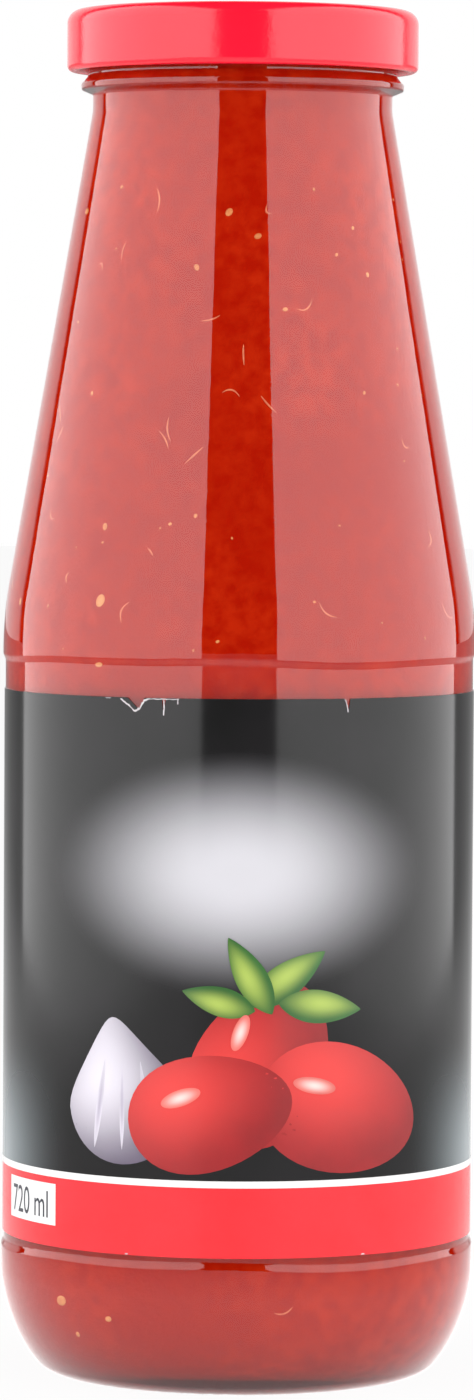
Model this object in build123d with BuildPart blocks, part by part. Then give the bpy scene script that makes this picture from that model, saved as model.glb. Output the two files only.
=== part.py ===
"""A 720 ml passata bottle with a lug cap, its contents and its paper label.

Millimetres, +Z up. The origin is the middle of the base, on the plane the bottle
stands on. The front of the label faces -Y, and angles round the bottle are counted
from there, positive to the right of someone who looks at the front.
"""

from build123d import *
from math import asin, atan, cos, degrees, radians, sin, sqrt, tan
import os

# ---------------------------------------------------------------- driving dimensions

# Glass body, outside
body_radius = 38.6        # widest bands, just above and just below the label panel
shoulder_height = 123.8   # where the body wall and the cone would meet, unrounded
shoulder_round = 60.0     # large soft round between the two
shoulder_band = 0.95      # straight band between that round and the label panel
cone_height = 82.0        # from the shoulder up to the neck
neck_set_in = 0.8         # the neck is this much slimmer than the finish
neck_length = 2.6         # short straight stretch below the bead
neck_round = 8.0

# Foot and heel
foot_fillet = 4.9         # small round beside the ring the bottle stands on
heel_round = 23.6         # large round between that and the wall
heel_height = 17.1        # where the large round runs out into the wall
heel_band = 4.0           # straight band between that round and the label panel
bearing_width = 1.8       # the flat ring itself
push_up = 3.4             # how far the middle of the base is pushed in

# Shallow scallops under the foot, in two runs, broken at the mould's parting line
stipple_count = 66        # places right round
stipple_margin = 6        # places left plain at each end of a run
parting_turn = 30.0       # degrees from the front
stipple_round = 1.5
stipple_depth = 0.3
stipple_length = 6.0

# Recessed panel for the label
panel_recess = 0.4
panel_step = 0.9          # height of the soft step at each end
panel_round = 0.8

# Finish: the rim, thread and bead that take the cap
finish_radius = 25.2      # wall between the bead and the rim
finish_wall = 3.0
rim_round = 1.0
bead_reach = 1.1          # the bead stands out this much from the finish
bead_edge = 0.5           # half of the bead's straight edge
bead_under = 0.8          # height of its flatter underside
bead_slope = 1.2          # height of its sloping upper side
bead_root_round = 0.48
bead_to_cap = 2.45        # from the middle of the bead up to the cap's lower edge
thread_round = 1.1        # half-round ridge
thread_reach = 0.2        # how far its middle stands out from the wall
thread_tilt = 2.4         # degrees
thread_arc = 72.0         # degrees covered by each start

# Glass thickness
wall = 2.0
base_thickness = 4.6
inner_heel_round = 13.5
floor_ring_width = 2.0    # flat ring of the floor inside that round

# Cap: pressed tinplate with a rolled edge and lugs
cap_height = 10.0
cap_plate = 0.25
cap_corner = 2.2
cap_step = 0.9            # the panel lies this much lower than the ring over the rim
cap_step_run = 0.8        # the step's width
cap_channel = 0.7         # clear width inside the glass rim
button_radius = 13.5      # safety button in the middle
button_rise = 0.35
button_run = 1.4
press_round = 0.6         # bends of the pressed steps
curl_radius = 1.0
curl_turn = 250.0         # degrees rolled inwards
curl_clearance = 0.1      # between the curl and the thread's crest
lug_count = 4
lug_arc = 19.0            # degrees
lug_thickness = 1.2
lug_round = 0.45
lug_clearance = 0.45      # to the wall of the finish
lug_to_thread = 0.15

# Label
label_thickness = 0.15
label_glue = 0.03         # film between the paper and the glass
label_low_margin = 1.1    # bare panel below the label
label_high_margin = 5.0   # bare panel above it
lap_width = 8.0           # the ends overlap at the back
# Tears in the top edge: degrees from the front, width, depth, lean of the deep end
label_tears = [
    (-25.6, 4.4, 2.0, 0.9),
    (-18.0, 0.9, 2.8, -0.1),
    (26.4, 1.5, 2.1, 0.3),
]

# Contents
head_space = 6.0          # from the rim down to the level
contents_gap = 0.05       # keeps the two solids apart

# ---------------------------------------------------------------- worked-out sizes

neck_radius = finish_radius - neck_set_in
bead_radius = finish_radius + bead_reach
bore_radius = finish_radius - finish_wall
cone_lean = degrees(atan((body_radius - neck_radius) / cone_height))
shoulder_run = shoulder_round * tan(radians(cone_lean / 2))

panel_radius = body_radius - panel_recess
panel_bottom = heel_height + heel_band + panel_step
panel_top = shoulder_height - shoulder_run - shoulder_band - panel_step
inner_radius = panel_radius - wall

neck_base = shoulder_height + cone_height
neck_top = neck_base + neck_length
bead_height = neck_top + bead_under + bead_edge
bead_top = bead_height + bead_edge + bead_slope
cap_bottom = bead_height + bead_to_cap
cap_top = cap_bottom + cap_height
rim_height = cap_top - cap_plate

thread_crest = finish_radius + thread_reach + thread_round
cap_radius = thread_crest + curl_clearance + 2 * curl_radius
curl_height = cap_bottom + curl_radius
cap_ring_inner = bore_radius - cap_channel
cap_panel = cap_top - cap_step
lug_inner = finish_radius + lug_clearance
lug_depth = cap_radius - curl_radius - lug_inner
thread_height = curl_height + lug_thickness / 2 + lug_to_thread + thread_round

label_bottom = panel_bottom + label_low_margin
label_top = panel_top - label_high_margin
label_inner = panel_radius + label_glue
label_outer = label_inner + label_thickness

# The foot's centre lies where its round rolls inside the large round of the heel.
foot_drop = heel_height - foot_fillet
foot_reach = sqrt((heel_round - foot_fillet) ** 2 - foot_drop**2)
foot_radius = body_radius - heel_round + foot_reach
foot_turn = 90 - degrees(asin(foot_drop / (heel_round - foot_fillet)))
bearing_inner = foot_radius - bearing_width


def push_up_curve(height, run):
    """Two equal arcs from the axis down to a ring, level at both ends."""
    turn = 2 * atan(push_up / run)
    arc_radius = run / (2 * sin(turn))
    crown = JernArc((0, height + push_up), (1, 0), arc_radius, -degrees(turn))
    return JernArc(crown @ 1, crown % 1, arc_radius, degrees(turn))


def inner_cone_height(radius, lining):
    """Height at which the inner face of the cone, with a lining on it, has a radius."""
    slant_wall = (wall + lining) / cos(radians(cone_lean))
    return shoulder_height + (body_radius - slant_wall - radius) / tan(radians(cone_lean))


def cavity_section(lining, top):
    """Half section of the space inside the glass, or of what fills it inside a lining."""
    radius = inner_radius - lining
    bore = bore_radius - lining
    floor = base_thickness + lining
    with BuildSketch(Plane.XZ) as section:
        with BuildLine():
            crown = push_up_curve(floor, inner_radius - inner_heel_round - floor_ring_width)
            inside = FilletPolyline(
                crown @ 1,
                (radius, floor),
                (radius, inner_cone_height(radius, lining)),
                (bore, inner_cone_height(bore, lining)),
                (bore, top),
                radius=[inner_heel_round - lining, shoulder_round - wall - lining, neck_round],
            )
            Line(inside @ 1, (0, top))
            Line((0, top), (0, floor + push_up))
        make_face()
    return section.sketch


def upright_plane(angle, height=0):
    """Upright plane on the axis, its x axis turned anticlockwise from +X by the angle."""
    turn = radians(angle)
    return Plane(
        origin=(0, 0, height),
        x_dir=(cos(turn), sin(turn), 0),
        z_dir=(sin(turn), -cos(turn), 0),
    )


# ---------------------------------------------------------------- bottle

# One start of the thread: a half-round ridge with ball ends, starting on +X.
with BuildPart() as thread_start:
    ridge_radius = finish_radius + thread_reach
    with BuildSketch(Plane.XZ):
        with Locations((ridge_radius, 0)):
            Circle(thread_round)
    revolve(axis=Axis.Z, revolution_arc=thread_arc)
    with PolarLocations(ridge_radius, 2, angular_range=thread_arc, endpoint=True):
        Sphere(thread_round)

with BuildPart() as scallop:
    with Locations(Location((foot_radius, 0, stipple_depth - stipple_round), (0, 90, 0))):
        Cylinder(stipple_round, stipple_length)

with BuildPart() as bottle:
    with BuildSketch(Plane.XZ):
        with BuildLine():
            crown = push_up_curve(0, bearing_inner)
            bearing = Line(crown @ 1, (foot_radius, 0))
            foot = JernArc(bearing @ 1, (1, 0), foot_fillet, foot_turn)
            heel = JernArc(foot @ 1, foot % 1, heel_round, 90 - foot_turn)
            flank = FilletPolyline(
                heel @ 1,
                (body_radius, panel_bottom - panel_step),
                (panel_radius, panel_bottom),
                (panel_radius, panel_top),
                (body_radius, panel_top + panel_step),
                (body_radius, shoulder_height),
                (neck_radius, neck_base),
                (neck_radius, neck_top),
                (bead_radius, neck_top + bead_under),
                (bead_radius, bead_height + bead_edge),
                (finish_radius, bead_top),
                (finish_radius, rim_height),
                radius=[panel_round] * 4
                + [shoulder_round, neck_round]
                + [bead_root_round, bead_root_round, bead_edge, bead_edge],
            )
            Line(flank @ 1, (0, rim_height))
            Line((0, rim_height), (0, push_up))
        make_face()
    revolve(axis=Axis.Z)

    revolve(cavity_section(0, rim_height + 1), axis=Axis.Z, mode=Mode.SUBTRACT)
    rim_edges = bottle.edges().filter_by(GeomType.CIRCLE).group_by(Axis.Z)[-1]
    fillet(rim_edges, rim_round)

    with Locations((0, 0, thread_height)):
        with PolarLocations(0, lug_count, start_angle=360 / lug_count / 2):
            with Locations(Location((0, 0, 0), (thread_tilt, 0, 0))):
                add(thread_start.part, rotation=(0, 0, -thread_arc / 2))

    half_count = stipple_count // 2
    for run_start in (0, half_count):
        for place in range(stipple_margin, half_count - stipple_margin + 1):
            turn = parting_turn - 90 + (run_start + place) * 360 / stipple_count
            add(scallop.part, rotation=(0, 0, turn), mode=Mode.SUBTRACT)

# ---------------------------------------------------------------- contents

with BuildPart() as passata:
    revolve(cavity_section(contents_gap, rim_height - head_space), axis=Axis.Z)

# ---------------------------------------------------------------- cap

# One lug: a pressed tongue that reaches in under the thread, starting on +X.
with BuildPart() as lug:
    with BuildSketch(Plane.XZ):
        with Locations((lug_inner + lug_depth / 2, curl_height)):
            RectangleRounded(lug_depth, lug_thickness, lug_round)
    revolve(axis=Axis.Z, revolution_arc=lug_arc)

with BuildPart() as cap:
    with BuildSketch(Plane.XZ):
        with BuildLine():
            plate = FilletPolyline(
                (0, cap_panel + button_rise),
                (button_radius, cap_panel + button_rise),
                (button_radius + button_run, cap_panel),
                (cap_ring_inner - cap_step_run, cap_panel),
                (cap_ring_inner, cap_top),
                (cap_radius, cap_top),
                (cap_radius, curl_height),
                radius=[press_round] * 4 + [cap_corner],
            )
            JernArc(plate @ 1, (0, -1), curl_radius, -curl_turn)
            offset(amount=cap_plate, side=Side.RIGHT)
        make_face()
    revolve(axis=Axis.Z)
    with PolarLocations(0, lug_count, start_angle=360 / lug_count / 2):
        add(lug.part, rotation=(0, 0, -lug_arc / 2))

# ---------------------------------------------------------------- label

with BuildPart() as label:
    with BuildSketch(Plane.XZ):
        with Locations((label_inner, label_bottom)):
            Rectangle(label_thickness, label_top - label_bottom, align=Align.MIN)
    revolve(axis=Axis.Z)

    # The end of the sheet laps over its start at the back.
    lap_arc = degrees(lap_width / label_outer)
    with BuildSketch(upright_plane(90 - lap_arc / 2)):
        with Locations((label_inner, label_bottom)):
            Rectangle(2 * label_thickness, label_top - label_bottom, align=Align.MIN)
    revolve(axis=Axis.Z, revolution_arc=lap_arc)

    for angle, width, depth, lean in label_tears:
        with BuildSketch(upright_plane(angle, label_top)):
            Polygon((-width / 2, 1), (width / 2, 1), (lean, -depth), align=None)
        extrude(amount=label_outer + 1, mode=Mode.SUBTRACT)

# ---------------------------------------------------------------- files

os.makedirs("parts", exist_ok=True)

bottle.part.label = "bottle"
export_step(bottle.part, "parts/bottle.step")

passata.part.label = "passata"
export_step(passata.part, "parts/passata.step")

cap.part.label = "lid"
export_step(cap.part, "parts/lid.step")

label.part.label = "label"
export_step(label.part, "parts/label.step")

print(f"overall height {cap_top:.1f} mm, rim at {rim_height:.1f} mm")
print(f"glass {bottle.part.volume / 1000:.0f} ml, contents {passata.part.volume / 1000:.0f} ml")
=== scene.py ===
# %% [markdown]
# # A passata bottle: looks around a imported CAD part
# The CAD holds four solids in one body: the glass, the contents, the cap and the paper
# label. They are exact but bare. This file keeps their sizes and gives each piece the
# finish of the real thing: wavy clear glass, a wet tomato pulp with seeds and strands,
# red enamel on tinplate, and a varnished print. Everything is in metres, and the front
# of the label faces -Y.

# %% Load the frame
import bpy
import bmesh
import random
from math import atan2, cos, degrees, pi, radians, sin, sqrt, tan
from mathutils import Matrix, Vector


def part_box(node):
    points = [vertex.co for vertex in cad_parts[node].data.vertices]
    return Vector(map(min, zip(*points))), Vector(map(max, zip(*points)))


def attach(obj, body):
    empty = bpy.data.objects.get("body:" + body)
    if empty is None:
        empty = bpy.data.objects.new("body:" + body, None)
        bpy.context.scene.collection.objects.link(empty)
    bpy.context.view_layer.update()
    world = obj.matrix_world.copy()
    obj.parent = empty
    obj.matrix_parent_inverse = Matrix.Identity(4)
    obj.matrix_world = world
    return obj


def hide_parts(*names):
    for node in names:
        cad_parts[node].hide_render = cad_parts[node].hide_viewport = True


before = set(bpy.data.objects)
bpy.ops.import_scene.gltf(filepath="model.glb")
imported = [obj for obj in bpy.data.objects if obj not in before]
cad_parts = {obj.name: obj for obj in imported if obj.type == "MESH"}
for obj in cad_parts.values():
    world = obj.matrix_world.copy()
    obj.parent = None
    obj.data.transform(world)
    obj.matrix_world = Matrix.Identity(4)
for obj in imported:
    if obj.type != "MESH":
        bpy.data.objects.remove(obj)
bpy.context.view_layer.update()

mm = 0.001
_, glass_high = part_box("bottle")
label_low, label_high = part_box("label")
_, pulp_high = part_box("passata")
body_radius = glass_high.x
rim_height = glass_high.z
level = pulp_high.z
inner_radius = pulp_high.x
print("glass", tuple(round(v / mm, 1) for v in glass_high), "mm, level", round(level / mm, 1))

# %% [markdown]
# ## Turning a section into a solid
# Glass, contents and cap are all bodies of revolution. A lathe would cut them from a
# section, and so does this helper: it lays the corners out as one flat face, rounds each
# corner with a vertex bevel, throws the face away and spins its outline round the axis.
# Bevelling a face's corners gives true arcs, so only the corners have to be named.

# %% A spun section
spin_steps = 264          # four columns for each scallop under the foot


def spun_section(name, corners, steps=spin_steps, arc_steps=10):
    """corners are (radius, height, round) in mm, anticlockwise, from the axis to the axis."""
    bm = bmesh.new()
    verts = [bm.verts.new((r * mm, 0, z * mm)) for r, z, _ in corners]
    bm.faces.new(verts)
    for i, (r, z, rounding) in enumerate(corners):
        if not rounding:
            continue
        before = Vector((corners[i - 1][0] - r, corners[i - 1][1] - z))
        after = Vector((corners[(i + 1) % len(corners)][0] - r, corners[(i + 1) % len(corners)][1] - z))
        half_turn = (pi - before.angle(after)) / 2
        bmesh.ops.bevel(bm, geom=[verts[i]], offset=rounding * mm * tan(half_turn),
                        offset_type="OFFSET", affect="VERTICES", segments=arc_steps,
                        profile=0.5, material=-1)
    bmesh.ops.delete(bm, geom=bm.faces[:], context="FACES_ONLY")
    on_axis = [e for e in bm.edges if all(v.co.x < 1e-7 for v in e.verts)]
    bmesh.ops.delete(bm, geom=on_axis, context="EDGES")
    bmesh.ops.spin(bm, geom=bm.edges[:] + bm.verts[:], cent=(0, 0, 0), axis=(0, 0, 1),
                   angle=2 * pi, steps=steps, use_merge=True, use_duplicate=False)
    bmesh.ops.remove_doubles(bm, verts=bm.verts[:], dist=1e-7)
    bmesh.ops.dissolve_degenerate(bm, edges=bm.edges[:], dist=1e-7)
    bmesh.ops.recalc_face_normals(bm, faces=bm.faces[:])
    return bm


def finish_piece(name, bm, material, smooth=True):
    """Makes an object of the mesh, gives it its finish and lets it ride on the body."""
    mesh = bpy.data.meshes.new(name)
    bm.to_mesh(mesh)
    bm.free()
    for polygon in mesh.polygons:
        polygon.use_smooth = smooth
    piece = bpy.data.objects.new(name, mesh)
    bpy.context.scene.collection.objects.link(piece)
    piece.data.materials.append(material)
    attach(piece, "root")
    print(name, len(mesh.polygons), "faces")
    return piece


# %% [markdown]
# ## Node helpers
# Every finish below is procedural. Two effects return in several of them, a soft drift of tone
# and a fine grain, and one shader node group built once gives both. A group gives out
# only colours and values; the shader itself stays in the material.

# %% Node groups
def new_group(name, inputs, outputs):
    group = bpy.data.node_groups.new(name, "ShaderNodeTree")
    for label, kind, value in inputs:
        socket = group.interface.new_socket(label, in_out="INPUT", socket_type=kind)
        socket.default_value = value
    for label, kind in outputs:
        group.interface.new_socket(label, in_out="OUTPUT", socket_type=kind)
    return group, group.nodes.new("NodeGroupInput"), group.nodes.new("NodeGroupOutput")


def tone_drift_group():
    """A colour that drifts softly between two tones, and the drift as a value."""
    group, entry, leave = new_group(
        "tone_drift",
        [("Tone A", "NodeSocketColor", (0.5, 0.5, 0.5, 1)),
         ("Tone B", "NodeSocketColor", (0.6, 0.6, 0.6, 1)),
         ("Scale", "NodeSocketFloat", 40.0),
         ("Detail", "NodeSocketFloat", 4.0),
         ("Low", "NodeSocketFloat", 0.35),
         ("High", "NodeSocketFloat", 0.65)],
        [("Color", "NodeSocketColor"), ("Value", "NodeSocketFloat")])
    coord = group.nodes.new("ShaderNodeTexCoord")
    noise = group.nodes.new("ShaderNodeTexNoise")
    ramp = group.nodes.new("ShaderNodeMapRange")
    mix = group.nodes.new("ShaderNodeMix")
    mix.data_type = "RGBA"
    link = group.links.new
    link(coord.outputs["Object"], noise.inputs["Vector"])
    link(entry.outputs["Scale"], noise.inputs["Scale"])
    link(entry.outputs["Detail"], noise.inputs["Detail"])
    link(noise.outputs["Fac"], ramp.inputs["Value"])
    link(entry.outputs["Low"], ramp.inputs["From Min"])
    link(entry.outputs["High"], ramp.inputs["From Max"])
    link(ramp.outputs["Result"], mix.inputs["Factor"])
    link(entry.outputs["Tone A"], mix.inputs["A"])
    link(entry.outputs["Tone B"], mix.inputs["B"])
    link(mix.outputs["Result"], leave.inputs["Color"])
    link(ramp.outputs["Result"], leave.inputs["Value"])
    return group


tone_drift = tone_drift_group()


def new_material(name):
    material = bpy.data.materials.new(name)
    material.use_nodes = True
    tree = material.node_tree
    return material, tree, tree.nodes["Principled BSDF"]


def add_drift(tree, **values):
    node = tree.nodes.new("ShaderNodeGroup")
    node.node_tree = tone_drift
    for label, value in values.items():
        node.inputs[label.replace("_", " ")].default_value = value
    return node


def add_bump(tree, shader, height, distance, strength=1.0):
    bump = tree.nodes.new("ShaderNodeBump")
    bump.inputs["Distance"].default_value = distance
    bump.inputs["Strength"].default_value = strength
    tree.links.new(height, bump.inputs["Height"])
    tree.links.new(bump.outputs["Normal"], shader.inputs["Normal"])
    return bump


# %% [markdown]
# ## The glass
# The real bottle is blown flint glass, about 2 mm thick, heavy at the heel. Its outside is
# true to the mould and its inside is a little uneven. Light paths decide how it shades:
# shadow and bounce rays go straight through, so the pulp behind it is lit plainly.

# %% Glass finish
def glass_finish():
    material, tree, shader = new_material("flint_glass")
    shader.inputs["Roughness"].default_value = 0.0
    shader.inputs["IOR"].default_value = 1.5
    shader.inputs["Transmission Weight"].default_value = 1.0
    tint = add_drift(tree, Tone_A=(0.93, 0.95, 0.93, 1), Tone_B=(0.97, 0.98, 0.97, 1), Scale=18.0)
    tree.links.new(tint.outputs["Color"], shader.inputs["Base Color"])
    add_bump(tree, shader, tint.outputs["Value"], 0.00006)
    path = tree.nodes.new("ShaderNodeLightPath")
    clear = tree.nodes.new("ShaderNodeBsdfTransparent")
    shadow = tree.nodes.new("ShaderNodeMixShader")
    bounce = tree.nodes.new("ShaderNodeMixShader")
    out = tree.nodes["Material Output"]
    link = tree.links.new
    link(path.outputs["Is Shadow Ray"], shadow.inputs["Fac"])
    link(shader.outputs["BSDF"], shadow.inputs[1])
    link(clear.outputs["BSDF"], shadow.inputs[2])
    link(path.outputs["Is Diffuse Ray"], bounce.inputs["Fac"])
    link(shadow.outputs["Shader"], bounce.inputs[1])
    link(clear.outputs["BSDF"], bounce.inputs[2])
    link(bounce.outputs["Shader"], out.inputs["Surface"])
    return material


glass = glass_finish()

# %% Glass section
panel_recess, contents_gap = 0.4, 0.05
base_thickness, push_up, inner_heel_round = 4.6, 3.4, 13.5
wall = body_radius / mm - panel_recess - inner_radius / mm - contents_gap
cone_foot, cone_top = 123.8, 205.8
neck_radius, finish_radius, bore_radius = 24.4, 25.2, 22.2
cone_slope = (body_radius / mm - neck_radius) / (cone_top - cone_foot)
body, panel = body_radius / mm, body_radius / mm - panel_recess
rim = rim_height / mm
inner = panel - wall
slant = wall * sqrt(1 + cone_slope**2)


def inner_cone(radius, reach=0.0):
    """Height where the inner face of the cone has this radius, pushed into the wall by reach."""
    return cone_foot + (body - slant - radius) / cone_slope + reach / cone_slope


def inside_corners(reach, top):
    """The inside of the glass from its mouth down to the axis, pushed into the wall by reach."""
    r, bore, floor = inner + reach, bore_radius + reach, base_thickness - reach
    return [
        (bore, top, 0),
        (bore, inner_cone(bore, reach * sqrt(1 + cone_slope**2)), 8.0),
        (r, inner_cone(r, reach * sqrt(1 + cone_slope**2)), 58.0),
        (r, floor, inner_heel_round + reach),
        (inner - 15.0, floor, 26.0),
        (7.5, floor + push_up, 26.0),
        (0, floor + push_up, 0),
    ]


outside = [
    (0, push_up, 0),
    (9.5, push_up, 40.0),
    (26.6, 0.0, 5.0),
    (31.42, 0.0, 4.9),
    (body, 8.345, 23.6),
    (body, 21.1, 0.8),
    (panel, 22.0, 0.8),
    (panel, 116.8, 0.8),
    (body, 117.7, 0.8),
    (body, cone_foot, 60.0),
    (neck_radius, cone_top, 8.0),
    (neck_radius, 208.4, 0.45),
    (26.3, 209.2, 0.45),
    (26.3, 210.2, 0.5),
    (finish_radius, 211.4, 0.5),
    (finish_radius, rim, 1.0),
]


def cut_scallops(bm, foot=29.0, reach=3.0, round_radius=1.5, depth=0.3, places=66, margin=6, parting=30.0):
    """Two runs of shallow radial notches under the foot, with a plain gap at each mould parting."""
    pitch, half, notches = 360 / places, places // 2, set()
    for start in (0, half):
        for place in range(margin, half - margin + 1):
            turn = parting - 90 + (start + place) * pitch
            for vert in bm.verts:
                radius = vert.co.xy.length
                if vert.co.z > depth * mm or abs(radius - foot * mm) > reach * mm:
                    continue
                off = (degrees(atan2(vert.co.y, vert.co.x)) - turn + 180) % 360 - 180
                aside = radius / mm * radians(off)
                if abs(aside) < round_radius:
                    top = depth - round_radius + sqrt(round_radius**2 - aside**2)
                    if top * mm > vert.co.z:
                        vert.co.z = top * mm
                        notches.add(start + place)
    print(len(notches), "scallops under the foot")


def wave_steps(bm, size=0.45, reach=5.0):
    """The steps above and below the panel are never quite level on a blown bottle."""
    for vert in bm.verts:
        height, turn = vert.co.z / mm, atan2(vert.co.y, vert.co.x)
        for step in (117.2, 21.5):
            near = max(0.0, 1 - abs(height - step) / reach)
            if near and vert.co.xy.length > (panel - 1.0) * mm:
                vert.co.z += size * mm * near * (sin(3 * turn + 1) + 0.5 * sin(7 * turn)) / 1.5


bottle_bm = spun_section("bottle_glass", outside + [(bore_radius, rim, 1.0)] + inside_corners(0, rim)[1:])
cut_scallops(bottle_bm)
wave_steps(bottle_bm)
bottle_glass = finish_piece("bottle_glass", bottle_bm, glass)
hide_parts("bottle")

# %% [markdown]
# ## The contents
# Passata is sieved tomato: a wet red pulp with small pale seeds and strands of fibre. It
# wets the glass, so its piece reaches just into the wall and no air gap shows.

# %% Pulp finish
def pulp_finish():
    material, tree, shader = new_material("tomato_pulp")
    shader.inputs["Roughness"].default_value = 0.5
    shader.inputs["Specular IOR Level"].default_value = 0.0
    broad = add_drift(tree, Tone_A=(0.38, 0.008, 0.001, 1), Tone_B=(0.50, 0.020, 0.003, 1),
                      Scale=30.0, Detail=3.0)
    fine = add_drift(tree, Tone_A=(0.38, 0.007, 0.001, 1), Scale=420.0, Detail=6.0)
    link = tree.links.new
    link(broad.outputs["Color"], fine.inputs["Tone B"])
    link(fine.outputs["Color"], shader.inputs["Base Color"])
    add_bump(tree, shader, fine.outputs["Value"], 0.0001)
    return material


pulp = pulp_finish()
pulp_reach = 0.12
pulp_corners = inside_corners(pulp_reach, level / mm)
passata_pulp = finish_piece(
    "passata_pulp",
    spun_section("passata_pulp", [(0, base_thickness + push_up - pulp_reach, 0)] + pulp_corners[-2:0:-1]
                 + [(bore_radius + pulp_reach, level / mm, 0), (0, level / mm, 0)], steps=132),
    pulp)
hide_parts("passata")

# %% [markdown]
# ## Seeds and strands
# A sieve lets some pips and skin threads through. They lie against the inside of the glass,
# where they show. A particle system could scatter them; here a ray from the axis finds the
# wall at each chosen height and turn, so each pip sits on the wall and is true to size.

# %% Placing against the wall
def wall_spot(height, turn):
    """A point on the pulp's skin and its outward direction; turn is degrees right of the front."""
    outward = Vector((sin(radians(turn)), -cos(radians(turn)), 0))
    start = outward * 60 * mm + Vector((0, 0, height * mm))
    _, place, normal, _ = passata_pulp.ray_cast(start, -outward)
    return place, normal


def plain_finish(name, tone_a, tone_b, roughness):
    material, tree, shader = new_material(name)
    shader.inputs["Roughness"].default_value = roughness
    drift = add_drift(tree, Tone_A=(*tone_a, 1), Tone_B=(*tone_b, 1), Scale=500.0)
    tree.links.new(drift.outputs["Color"], shader.inputs["Base Color"])
    return material


# %% Seeds
def add_seed(bm, place, normal, length, width, thick, tilt):
    """A flattened oval pip, lying on the wall."""
    stand = normal.to_track_quat("Z", "Y").to_matrix().to_4x4()
    size = Matrix.Diagonal((length / 2 * mm, width / 2 * mm, thick / 2 * mm, 1))
    matrix = Matrix.Translation(place) @ stand @ Matrix.Rotation(tilt, 4, "Z") @ size
    bmesh.ops.create_icosphere(bm, subdivisions=3, radius=1.0, matrix=matrix)


# height in mm, degrees right of the front, length in mm
seen_seeds = [
    (188.6, -4.5, 1.4), (184.8, 5.5, 1.2), (179.8, -15.0, 1.1), (173.2, 14.0, 0.9),
    (138.5, -38.0, 1.2), (126.8, -37.0, 2.1), (116.9, -37.0, 1.5), (178.9, 46.0, 0.9),
    (189.0, -70.0, 1.4), (126.0, -71.0, 1.2), (14.5, -49.0, 2.1), (12.5, -34.0, 1.2),
    (9.5, -46.0, 1.0),
]
pips = random.Random(7)
seed_bm = bmesh.new()
for height, turn, length in seen_seeds:
    place, normal = wall_spot(height, turn)
    add_seed(seed_bm, place, normal, length, length * 0.75, 0.5, pips.uniform(0, pi))
for _ in range(16):
    length = pips.uniform(0.6, 1.9)
    place, normal = wall_spot(pips.uniform(12, 190), pips.uniform(90, 270))
    add_seed(seed_bm, place, normal, length, length * 0.75, 0.5, pips.uniform(0, pi))
for _ in range(30):
    length = pips.uniform(0.35, 0.8)
    place, normal = wall_spot(pips.uniform(119, 196), pips.uniform(-70, 70))
    add_seed(seed_bm, place, normal, length, length * 0.75, 0.3, pips.uniform(0, pi))
seed_skin = plain_finish("seed_skin", (0.62, 0.17, 0.04), (0.76, 0.28, 0.08), 0.5)
finish_piece("seeds", seed_bm, seed_skin)

# %% Strands
def add_strand(bm, height, turn, tilt, length, steps=14):
    """A thin thread that wanders over the wall."""
    bend = pips.uniform(-2.5, 2.5)
    points = []
    for i in range(steps + 1):
        along = (i / steps - 0.5) * length
        side = bend * ((2 * i / steps - 1) ** 2 - 0.5) * 0.4
        rise, run = along * sin(tilt) + side * cos(tilt), along * cos(tilt) - side * sin(tilt)
        place, normal = wall_spot(height + rise, turn + degrees(run / (inner_radius / mm)))
        points.append((place, normal))
    rings = []
    for i, (place, normal) in enumerate(points):
        ahead = (points[min(i + 1, steps)][0] - points[max(i - 1, 0)][0]).normalized()
        across = ahead.cross(normal).normalized()
        thick = 0.11 * mm * (0.35 + sin(pi * (i + 0.5) / (steps + 1)))
        rings.append([bm.verts.new(place + thick * (cos(a) * across + sin(a) * normal))
                      for a in (2 * pi * k / 6 for k in range(6))])
    for low, high in zip(rings, rings[1:]):
        for k in range(6):
            bm.faces.new((low[k], low[(k + 1) % 6], high[(k + 1) % 6], high[k]))
    bm.faces.new(rings[0][::-1])
    bm.faces.new(rings[-1])


strand_bm = bmesh.new()
# height in mm, degrees right of the front, tilt in radians, length in mm
seen_strands = [
    (150.0, -13.0, 0.7, 4.0), (152.5, -22.0, 2.2, 3.2), (14.5, 12.0, 0.3, 3.0), (125.2, -30.0, 1.2, 3.4),
]
for height, turn, tilt, length in seen_strands:
    add_strand(strand_bm, height, turn, tilt, length)
for _ in range(14):
    height, turn, tilt = pips.uniform(20, 185), pips.uniform(60, 300), pips.uniform(0, pi)
    add_strand(strand_bm, height, turn, tilt, pips.uniform(2, 5))
for _ in range(18):
    height, turn, tilt = pips.uniform(120, 195), pips.uniform(-65, 65), pips.uniform(0, pi)
    add_strand(strand_bm, height, turn, tilt, pips.uniform(1.5, 4))
bmesh.ops.recalc_face_normals(strand_bm, faces=strand_bm.faces[:])
strand_skin = plain_finish("strand_skin", (0.62, 0.12, 0.05), (0.75, 0.22, 0.09), 0.5)
finish_piece("strands", strand_bm, strand_skin)

# %% [markdown]
# ## The cap
# The cap is pressed tinplate with a red enamel. The CAD shape is right, so it stays and
# takes the finish: glossy, with the faint orange peel that stoved enamel has.

# %% Enamel finish
def enamel_finish():
    material, tree, shader = new_material("red_enamel")
    shader.inputs["Roughness"].default_value = 0.16
    drift = add_drift(tree, Tone_A=(0.90, 0.006, 0.028, 1), Tone_B=(0.96, 0.008, 0.034, 1), Scale=60.0)
    peel = add_drift(tree, Scale=900.0)
    tree.links.new(drift.outputs["Color"], shader.inputs["Base Color"])
    add_bump(tree, shader, peel.outputs["Value"], 0.00001)
    return material


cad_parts["lid"].data.materials.clear()
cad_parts["lid"].data.materials.append(enamel_finish())

# %% [markdown]
# ## The label
# A wrap-round paper label with a varnished print: a black ground with a pale glow, a still
# life of plum tomatoes, garlic and leaves, a red band with a white line at its foot, and
# the stated volume. The print could be one painted texture. Here each field of colour is a
# thin layer of ink, drawn flat in millimetres from the front's middle line and then
# wrapped round the paper, so every edge stays sharp and every layer rides on the label.

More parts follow.
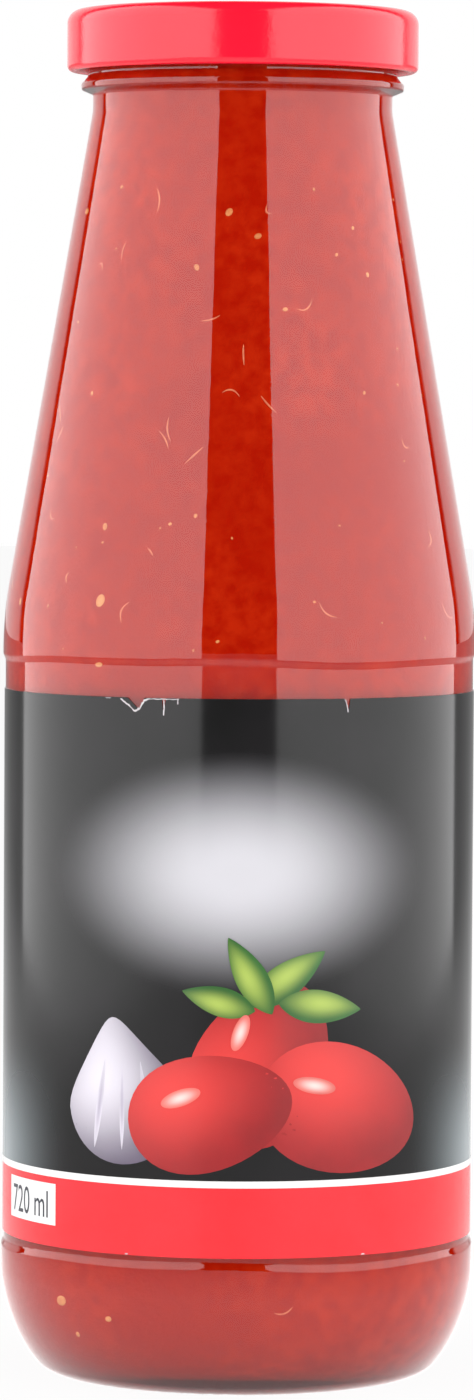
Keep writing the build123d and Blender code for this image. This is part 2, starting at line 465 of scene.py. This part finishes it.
# %% Ground of the print
label_radius = label_high.x
label_foot, label_head = label_low.z, label_high.z
ink_layer = 0.012 * mm


def label_ground():
    """Black ink with a soft pale glow in front, behind the still life, and a painted sheen on its lower
    sides.
    """
    material, tree, shader = new_material("label_ground")
    shader.inputs["Roughness"].default_value = 0.12
    shader.inputs["Specular IOR Level"].default_value = 0.3
    drift = add_drift(tree, Tone_A=(0.003, 0.003, 0.003, 1), Tone_B=(0.007, 0.006, 0.007, 1), Scale=90.0)
    coord = tree.nodes.new("ShaderNodeTexCoord")
    place = tree.nodes.new("ShaderNodeMapping")
    place.vector_type = "TEXTURE"
    place.inputs["Location"].default_value = (0, -label_radius, 84 * mm)
    place.inputs["Scale"].default_value = (31 * mm, 60 * mm, 20 * mm)
    reach = tree.nodes.new("ShaderNodeVectorMath")
    reach.operation = "LENGTH"
    fade = tree.nodes.new("ShaderNodeMapRange")
    fade.interpolation_type = "SMOOTHSTEP"
    fade.inputs["From Min"].default_value = 0.1
    fade.inputs["From Max"].default_value = 1.0
    fade.inputs["To Min"].default_value = 1.0
    fade.inputs["To Max"].default_value = 0.0
    mix = tree.nodes.new("ShaderNodeMix")
    mix.data_type = "RGBA"
    mix.inputs["B"].default_value = (0.66, 0.65, 0.69, 1)
    link = tree.links.new
    link(coord.outputs["Object"], place.inputs["Vector"])
    link(place.outputs["Vector"], reach.inputs[0])
    link(reach.outputs["Value"], fade.inputs["Value"])
    link(fade.outputs["Result"], mix.inputs["Factor"])
    # Painted sheen: below 57 mm the ground turns pale grey-blue towards the sides and the back, so the edges
    # seen from the front look lit by the studio.
    split = tree.nodes.new("ShaderNodeSeparateXYZ")
    sheen_sides = tree.nodes.new("ShaderNodeMapRange")
    sheen_sides.interpolation_type = "SMOOTHSTEP"
    sheen_sides.inputs["From Min"].default_value = -0.72 * label_radius
    sheen_sides.inputs["From Max"].default_value = -0.10 * label_radius
    low = tree.nodes.new("ShaderNodeMapRange")
    low.interpolation_type = "SMOOTHSTEP"
    low.inputs["From Min"].default_value = 57 * mm
    low.inputs["From Max"].default_value = 36 * mm
    sheen_mask = tree.nodes.new("ShaderNodeMath")
    sheen_mask.operation = "MULTIPLY"
    pale = tree.nodes.new("ShaderNodeMix")
    pale.data_type = "RGBA"
    pale.inputs["B"].default_value = (0.30, 0.35, 0.37, 1)
    link(coord.outputs["Object"], split.inputs["Vector"])
    link(split.outputs["Y"], sheen_sides.inputs["Value"])
    link(split.outputs["Z"], low.inputs["Value"])
    link(sheen_sides.outputs["Result"], sheen_mask.inputs[0])
    link(low.outputs["Result"], sheen_mask.inputs[1])
    link(sheen_mask.outputs["Value"], pale.inputs["Factor"])
    link(drift.outputs["Color"], pale.inputs["A"])
    link(pale.outputs["Result"], mix.inputs["A"])
    link(mix.outputs["Result"], shader.inputs["Base Color"])
    return material


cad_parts["label"].data.materials.clear()
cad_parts["label"].data.materials.append(label_ground())

# %% Inks
def ink_finish(name, tone_a, tone_b, roughness=0.2):
    material, tree, shader = new_material(name)
    shader.inputs["Roughness"].default_value = roughness
    drift = add_drift(tree, Tone_A=(*tone_a, 1), Tone_B=(*tone_b, 1), Scale=120.0)
    tree.links.new(drift.outputs["Color"], shader.inputs["Base Color"])
    return material


def shaded_ink(name, light, deep, light_at=(-0.35, 0.4), spread=1.5):
    """Ink that goes from a light tone at one spot of the shape to a deep one at its edge."""
    material, tree, shader = new_material(name)
    shader.inputs["Roughness"].default_value = 0.2
    uv = tree.nodes.new("ShaderNodeUVMap")
    uv.uv_map = "shape"
    place = tree.nodes.new("ShaderNodeMapping")
    place.vector_type = "TEXTURE"
    place.inputs["Location"].default_value = (*light_at, 0)
    reach = tree.nodes.new("ShaderNodeVectorMath")
    reach.operation = "LENGTH"
    fade = tree.nodes.new("ShaderNodeMapRange")
    fade.interpolation_type = "SMOOTHSTEP"
    fade.inputs["From Max"].default_value = spread
    mix = tree.nodes.new("ShaderNodeMix")
    mix.data_type = "RGBA"
    mix.inputs["A"].default_value = (*light, 1)
    drift = add_drift(tree, Tone_A=(*deep, 1), Tone_B=(*(0.8 * c for c in deep), 1), Scale=150.0)
    link = tree.links.new
    link(uv.outputs["UV"], place.inputs["Vector"])
    link(place.outputs["Vector"], reach.inputs[0])
    link(reach.outputs["Value"], fade.inputs["Value"])
    link(fade.outputs["Result"], mix.inputs["Factor"])
    link(drift.outputs["Color"], mix.inputs["B"])
    link(mix.outputs["Result"], shader.inputs["Base Color"])
    return material


red_ink = ink_finish("red_ink", (0.86, 0.012, 0.022), (0.92, 0.016, 0.028))
white_ink = ink_finish("white_ink", (0.86, 0.86, 0.86), (0.92, 0.92, 0.92))
figure_ink = ink_finish("figure_ink", (0.018, 0.02, 0.035), (0.026, 0.028, 0.045))

# %% Bands that run right round
def paper_radius(outward):
    """How far out the paper stands; it is one thickness more where the ends lap."""
    start = outward * 2 * label_radius + Vector((0, 0, (label_foot + label_head) / 2))
    _, place, _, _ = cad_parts["label"].ray_cast(start, -outward)
    return place.xy.length


def ring_band(name, low, high, layer, material):
    """A ring of ink round the whole label, over the lap as well."""
    bm = bmesh.new()
    edge = bm.edges.new([bm.verts.new((0, -label_radius, h * mm)) for h in (low, high)])
    bmesh.ops.spin(bm, geom=[edge, *edge.verts], cent=(0, 0, 0), axis=(0, 0, 1), angle=2 * pi,
                   steps=720, use_merge=True, use_duplicate=False)
    for vert in bm.verts:
        outward = Vector((vert.co.x, vert.co.y, 0)).normalized()
        radius = paper_radius(outward) + layer * ink_layer
        vert.co.x, vert.co.y = outward.x * radius, outward.y * radius
    bmesh.ops.recalc_face_normals(bm, faces=bm.faces[:])
    return finish_piece(name, bm, material)


ring_band("red_band", label_foot / mm, 34.6, 1, red_ink)
ring_band("white_line", 34.3, 35.4, 2, white_ink)

# %% Shapes wrapped round the label
def wrap(bm, layer):
    """Bends a flat drawing round the label: x is the way round, y is the height."""
    radius = label_radius + layer * ink_layer
    for vert in bm.verts:
        turn = vert.co.x / label_radius
        vert.co = (radius * sin(turn), -radius * cos(turn), vert.co.y)


def disc(rings=8, segments=48):
    """A flat unit disc of rings, dense enough to bend, with its own shape coordinates."""
    bm = bmesh.new()
    loop = bmesh.ops.create_circle(bm, segments=segments, radius=1.0, cap_ends=False)["verts"]
    edges = bm.edges[:]
    for ring in range(rings - 1, 0, -1):
        out = bmesh.ops.extrude_edge_only(bm, edges=edges)["geom"]
        loop = [g for g in out if isinstance(g, bmesh.types.BMVert)]
        edges = [g for g in out if isinstance(g, bmesh.types.BMEdge) and all(v in loop for v in g.verts)]
        bmesh.ops.scale(bm, verts=loop, vec=(ring / (ring + 1), ring / (ring + 1), 1))
    middle = bmesh.ops.contextual_create(bm, geom=edges)["faces"]
    bmesh.ops.poke(bm, faces=middle)
    bmesh.ops.recalc_face_normals(bm, faces=bm.faces[:])
    if bm.faces[0].normal.z < 0:
        bmesh.ops.reverse_faces(bm, faces=bm.faces[:])
    shape = bm.loops.layers.uv.new("shape")
    for face in bm.faces:
        for corner in face.loops:
            corner[shape].uv = corner.vert.co.xy
    return bm


def print_shape(name, centre, size, tilt, material, layer, warp=None):
    """One printed shape: a disc, warped, sized in mm, tilted, moved and wrapped."""
    bm = disc()
    if warp:
        for vert in bm.verts:
            vert.co.x, vert.co.y = warp(vert.co.x, vert.co.y)
    bmesh.ops.scale(bm, verts=bm.verts[:], vec=(size[0] * mm, size[1] * mm, 1))
    bmesh.ops.rotate(bm, verts=bm.verts[:], cent=(0, 0, 0), matrix=Matrix.Rotation(radians(tilt), 3, "Z"))
    bmesh.ops.translate(bm, verts=bm.verts[:], vec=(centre[0] * mm, centre[1] * mm, 0))
    wrap(bm, layer)
    return finish_piece(name, bm, material)


def plum(x, y):
    """Slightly narrower at one end."""
    return x, y * (1.0 - 0.14 * x)


def leaf(x, y):
    """Pointed at both ends."""
    return x, y * (1 - x * x) ** 0.35 * (1.05 - 0.25 * x)


def bulb(x, y):
    """A squat bulb drawn up to a neck."""
    return x * (1 - 0.5 * max(0.0, y) ** 1.6), y + 0.35 * max(0.0, y) ** 3


# %% The still life
tomato_ink = shaded_ink("tomato_ink", (0.82, 0.045, 0.04), (0.34, 0.003, 0.006), spread=1.4)
garlic_ink = shaded_ink("garlic_ink", (0.80, 0.76, 0.84), (0.13, 0.10, 0.16), spread=1.6)
clove_ink = shaded_ink("clove_ink", (0.50, 0.45, 0.56), (0.74, 0.70, 0.79), (0, 0), 1.0)
leaf_ink = shaded_ink("leaf_ink", (0.42, 0.55, 0.10), (0.03, 0.14, 0.02), (0, 0.2), 1.1)
shine_ink = shaded_ink("shine_ink", (0.98, 0.72, 0.68), (0.90, 0.18, 0.15), (0, 0), 1.0)

print_shape("garlic_left", (-19, 47.5), (10.5, 10.0), 8, garlic_ink, 1, bulb)
for number, (x, width, tilt) in enumerate([(-23.2, 1.1, 82), (-19, 0.8, 90), (-14.8, 1.1, 98)]):
    print_shape(f"clove_line_{number}", (x, 47.0), (7.2, width / 2), tilt, clove_ink, 2, leaf)
print_shape("tomato_back", (4, 54), (14, 10.5), 62, tomato_ink, 3, plum)
print_shape("tomato_right", (17.5, 46.5), (14.5, 10.2), -14, tomato_ink, 4, plum)
print_shape("tomato_front", (-4.5, 46.2), (13.5, 9.2), 12, tomato_ink, 5, plum)
for number, (x, y, length, width, tilt) in enumerate([
        (8, 67.5, 7.5, 2.6, 35), (13.5, 63, 7.0, 2.5, -5), (2, 68, 7.0, 2.4, 120), (-3, 64, 6.0, 2.2, 165)]):
    print_shape(f"leaf_{number}", (x, y), (length, width), tilt, leaf_ink, 6 + number, leaf)
for number, (x, y, length, width, tilt) in enumerate([
        (-9, 48.5, 3.4, 1.3, 20), (12.5, 50.5, 3.6, 1.3, -10), (0.5, 59, 3.0, 1.2, 70)]):
    print_shape(f"shine_{number}", (x, y), (length, width), tilt, shine_ink, 10)

# %% [markdown]
# The top edge was nicked and torn, so bare white paper shows along the tears. Each torn lip
# is a ragged ribbon, laid along the edge and wrapped like the rest of the print.

# %% Torn paper
paper_white = ink_finish("bare_paper", (0.52, 0.46, 0.49), (0.74, 0.70, 0.72), roughness=0.9)


def torn_lips(name, lines, rng, step=0.25):
    """Ragged ribbons; each line is its corners and its width, in mm on the flat label."""
    bm = bmesh.new()
    for corners, width in lines:
        last = None
        for start, end in zip(corners, corners[1:]):
            start, end = Vector(start), Vector(end)
            along = (end - start).normalized()
            across = Vector((-along.y, along.x))
            count = max(1, round((end - start).length / step))
            for i in range(count + 1):
                middle = start.lerp(end, i / count) + across * rng.uniform(-0.06, 0.06)
                half = width / 2 * rng.uniform(0.35, 1.0)
                pair = [bm.verts.new(((middle + side * half * across) * mm).to_3d()) for side in (-1, 1)]
                if last:
                    bm.faces.new((last[0], pair[0], pair[1], last[1]))
                last = pair
    for face in bm.faces:
        face.normal_update()
        if face.normal.z < 0:
            face.normal_flip()
    wrap(bm, 6)
    return finish_piece(name, bm, material=paper_white, smooth=False)


top = label_head / mm - 0.15
torn_lips("torn_lips", [
    ([(-19.6, top - 0.1), (-18.2, top - 1.0), (-17.0, top - 2.0)], 0.34),
    ([(-17.0, top - 2.0), (-16.2, top - 1.6), (-15.4, top - 0.3), (-14.6, top)], 0.42),
    ([(-14.6, top), (-12.2, top), (-9.6, top)], 0.20),
    ([(-12.1, top - 0.2), (-12.0, top - 1.5), (-12.1, top - 2.6)], 0.26),
    ([(-9.7, top), (-9.8, top - 0.8)], 0.26),
    ([(-22.4, top), (-21.4, top)], 0.18),
    ([(17.3, top), (17.7, top - 0.9), (17.9, top - 2.0)], 0.24),
    ([(-18.3, 23.25), (-17.8, 23.25)], 0.22),
    ([(20.9, 23.25), (21.5, 23.25)], 0.22),
], random.Random(11))

# %% [markdown]
# The stated volume stands in a white field at the left. Text starts as a font curve, is
# squeezed like a condensed face, made a mesh, cut up finely enough to bend, and wrapped.

# %% Stated volume
def flat_patch(name, left, right, low, high, layer, material, columns=16):
    bm = bmesh.new()
    bmesh.ops.create_grid(bm, x_segments=columns, y_segments=1, size=0.5)
    bmesh.ops.scale(bm, verts=bm.verts[:], vec=((right - left) * mm, (high - low) * mm, 1))
    bmesh.ops.translate(bm, verts=bm.verts[:], vec=((left + right) / 2 * mm, (low + high) / 2 * mm, 0))
    wrap(bm, layer)
    return finish_piece(name, bm, material)


def printed_text(name, words, left, foot, height, squeeze, layer, material):
    curve = bpy.data.curves.new(name, "FONT")
    curve.body = words
    curve.size = height * mm / 0.7
    source = bpy.data.objects.new(name + "_curve", curve)
    bpy.context.scene.collection.objects.link(source)
    bpy.context.view_layer.update()
    mesh = bpy.data.meshes.new_from_object(source)
    bpy.data.objects.remove(source)
    bm = bmesh.new()
    bm.from_mesh(mesh)
    bpy.data.meshes.remove(mesh)
    bmesh.ops.scale(bm, verts=bm.verts[:], vec=(squeeze, 1, 1))
    bmesh.ops.triangulate(bm, faces=bm.faces[:])
    bmesh.ops.subdivide_edges(bm, edges=[e for e in bm.edges if e.calc_length() > 1.2 * mm], cuts=2)
    bmesh.ops.triangulate(bm, faces=bm.faces[:])
    bmesh.ops.translate(bm, verts=bm.verts[:], vec=(left * mm, foot * mm, 0))
    width = max(v.co.x for v in bm.verts) - min(v.co.x for v in bm.verts)
    wrap(bm, layer)
    print(words, "is", round(width / mm, 1), "mm wide")
    return finish_piece(name, bm, material)


volume_left, volume_right = radians(-72) * label_radius / mm, radians(-49) * label_radius / mm
flat_patch("volume_field", volume_left, volume_right, 26.5, 33.2, 3, white_ink)
printed_text("volume_figures", "720 ml", volume_left + 1.2, 27.6, 4.4, 0.72, 5, figure_ink)

# %% [markdown]
# ## Floor, light and camera
# The bottle stands in a white studio between two tall soft boxes, with a dark gap between
# them in front. The soft boxes light it plainly, and shiny surfaces see them stronger,
# as the glare that a soft box leaves on glass.

# %% Floor
def build_floor():
    bm = bmesh.new()
    bmesh.ops.create_grid(bm, x_segments=2, y_segments=2, size=6.0)
    mesh = bpy.data.meshes.new("studio_floor")
    bm.to_mesh(mesh)
    bm.free()
    floor = bpy.data.objects.new("studio_floor", mesh)
    bpy.context.scene.collection.objects.link(floor)
    material, tree, shader = new_material("studio_white")
    drift = add_drift(tree, Tone_A=(0.86, 0.86, 0.86, 1), Tone_B=(0.9, 0.9, 0.9, 1), Scale=2.0)
    shader.inputs["Roughness"].default_value = 0.9
    shader.inputs["Specular IOR Level"].default_value = 0.1
    path = tree.nodes.new("ShaderNodeLightPath")
    glow = tree.nodes.new("ShaderNodeEmission")
    strength = tree.nodes.new("ShaderNodeMath")
    strength.operation = "MULTIPLY_ADD"
    strength.inputs[1].default_value = 0.6
    strength.inputs[2].default_value = 1.0
    mix = tree.nodes.new("ShaderNodeMixShader")
    share = tree.nodes.new("ShaderNodeMath")
    share.operation = "MULTIPLY"
    share.inputs[1].default_value = 0.93
    seen = tree.nodes.new("ShaderNodeMath")
    seen.operation = "MAXIMUM"
    mirrored = tree.nodes.new("ShaderNodeMath")
    mirrored.operation = "MULTIPLY"
    either = tree.nodes.new("ShaderNodeMath")
    either.operation = "MAXIMUM"
    coord = tree.nodes.new("ShaderNodeTexCoord")
    away = tree.nodes.new("ShaderNodeVectorMath")
    away.operation = "LENGTH"
    near = tree.nodes.new("ShaderNodeMapRange")
    near.inputs["From Min"].default_value = 0.10
    near.inputs["From Max"].default_value = 0.22
    near.inputs["To Min"].default_value = 1.0
    near.inputs["To Max"].default_value = 0.0
    link = tree.links.new
    link(drift.outputs["Color"], shader.inputs["Base Color"])
    link(path.outputs["Is Glossy Ray"], strength.inputs[0])
    link(strength.outputs["Value"], glow.inputs["Strength"])
    link(coord.outputs["Object"], away.inputs[0])
    link(away.outputs["Value"], near.inputs["Value"])
    link(path.outputs["Is Camera Ray"], seen.inputs[0])
    link(path.outputs["Is Transmission Ray"], seen.inputs[1])
    link(path.outputs["Is Glossy Ray"], mirrored.inputs[0])
    link(near.outputs["Result"], mirrored.inputs[1])
    link(seen.outputs["Value"], either.inputs[0])
    link(mirrored.outputs["Value"], either.inputs[1])
    link(either.outputs["Value"], share.inputs[0])
    link(share.outputs["Value"], mix.inputs["Fac"])
    link(shader.outputs["BSDF"], mix.inputs[1])
    link(glow.outputs["Emission"], mix.inputs[2])
    link(mix.outputs["Shader"], tree.nodes["Material Output"].inputs["Surface"])
    mesh.materials.append(material)
    return floor


build_floor()

# %% World
def build_world(fill=0.40):
    world = bpy.data.worlds.new("studio")
    bpy.context.scene.world = world
    world.use_nodes = True
    tree = world.node_tree
    tree.nodes.clear()
    link = tree.links.new
    coord = tree.nodes.new("ShaderNodeTexCoord")
    split = tree.nodes.new("ShaderNodeSeparateXYZ")
    back = tree.nodes.new("ShaderNodeMapRange")
    back.inputs["From Min"].default_value = 0.70
    back.inputs["From Max"].default_value = 0.74
    back.inputs["To Min"].default_value = 0.004
    link(coord.outputs["Generated"], split.inputs["Vector"])
    link(split.outputs["Y"], back.inputs["Value"])
    path = tree.nodes.new("ShaderNodeLightPath")
    soft = tree.nodes.new("ShaderNodeBackground")
    soft.inputs["Color"].default_value = (1, 1, 1, 1)
    soft.inputs["Strength"].default_value = fill
    shine = tree.nodes.new("ShaderNodeBackground")
    shine.inputs["Color"].default_value = (1, 1, 1, 1)
    link(back.outputs["Result"], shine.inputs["Strength"])
    white = tree.nodes.new("ShaderNodeBackground")
    white.inputs["Color"].default_value = (1, 1, 1, 1)
    glossy = tree.nodes.new("ShaderNodeMixShader")
    seen = tree.nodes.new("ShaderNodeMixShader")
    through = tree.nodes.new("ShaderNodeMixShader")
    link(path.outputs["Is Glossy Ray"], glossy.inputs["Fac"])
    link(soft.outputs["Background"], glossy.inputs[1])
    link(shine.outputs["Background"], glossy.inputs[2])
    link(path.outputs["Is Transmission Ray"], through.inputs["Fac"])
    link(glossy.outputs["Shader"], through.inputs[1])
    link(white.outputs["Background"], through.inputs[2])
    link(path.outputs["Is Camera Ray"], seen.inputs["Fac"])
    link(through.outputs["Shader"], seen.inputs[1])
    link(white.outputs["Background"], seen.inputs[2])
    out = tree.nodes.new("ShaderNodeOutputWorld")
    link(seen.outputs["Shader"], out.inputs["Surface"])


build_world()

# %% Soft boxes
def soft_box_finish(plain=1.9, glare=3.0):
    """Plain light for the object, a stronger glare for shiny surfaces, nothing for the camera."""
    material = bpy.data.materials.new("soft_box")
    material.use_nodes = True
    tree = material.node_tree
    tree.nodes.clear()
    link = tree.links.new
    path = tree.nodes.new("ShaderNodeLightPath")
    lit = tree.nodes.new("ShaderNodeEmission")
    lit.inputs["Strength"].default_value = plain
    shine = tree.nodes.new("ShaderNodeEmission")
    shine.inputs["Strength"].default_value = glare
    clear = tree.nodes.new("ShaderNodeBsdfTransparent")
    glossy = tree.nodes.new("ShaderNodeMixShader")
    seen = tree.nodes.new("ShaderNodeMixShader")
    link(path.outputs["Is Glossy Ray"], glossy.inputs["Fac"])
    link(lit.outputs["Emission"], glossy.inputs[1])
    link(shine.outputs["Emission"], glossy.inputs[2])
    link(path.outputs["Is Camera Ray"], seen.inputs["Fac"])
    link(glossy.outputs["Shader"], seen.inputs[1])
    link(clear.outputs["BSDF"], seen.inputs[2])
    out = tree.nodes.new("ShaderNodeOutputMaterial")
    link(seen.outputs["Shader"], out.inputs["Surface"])
    return material


def soft_box(name, side, material):
    """A tall soft box that stands beside the bottle, from near the camera to just behind."""
    near, far = Vector((side * 0.46, -1.43, 0)), Vector((side * 0.69, 0.56, 0))
    bm = bmesh.new()
    foot = [bm.verts.new(near), bm.verts.new(far)]
    edge = bm.edges.new(foot)
    raised = bmesh.ops.extrude_edge_only(bm, edges=[edge])["geom"]
    bmesh.ops.translate(bm, verts=[v for v in raised if isinstance(v, bmesh.types.BMVert)],
                        vec=(0, 0, 1.5))
    mesh = bpy.data.meshes.new(name)
    bm.to_mesh(mesh)
    bm.free()
    mesh.materials.append(material)
    box = bpy.data.objects.new(name, mesh)
    bpy.context.scene.collection.objects.link(box)


glow = soft_box_finish()
for side, word in ((-1, "left"), (1, "right")):
    soft_box("soft_box_" + word, side, glow)

# %% Camera
def place_camera():
    distance, height, lens = 1.0307, 0.158, 162.1
    camera = bpy.data.cameras.new("camera")
    camera.sensor_width = 36.0
    camera.lens = lens
    holder = bpy.data.objects.new("camera", camera)
    bpy.context.scene.collection.objects.link(holder)
    pitch, roll, yaw = radians(2.674), radians(0.33), radians(0.02)
    aim = Matrix.Rotation(yaw, 4, "Z") @ Matrix.Rotation(pi / 2 - pitch, 4, "X")
    turn = aim @ Matrix.Rotation(roll, 4, "Z")
    holder.matrix_world = Matrix.Translation((0, -distance, height)) @ turn
    bpy.context.scene.camera = holder


place_camera()
bpy.context.scene.view_settings.view_transform = "Standard"
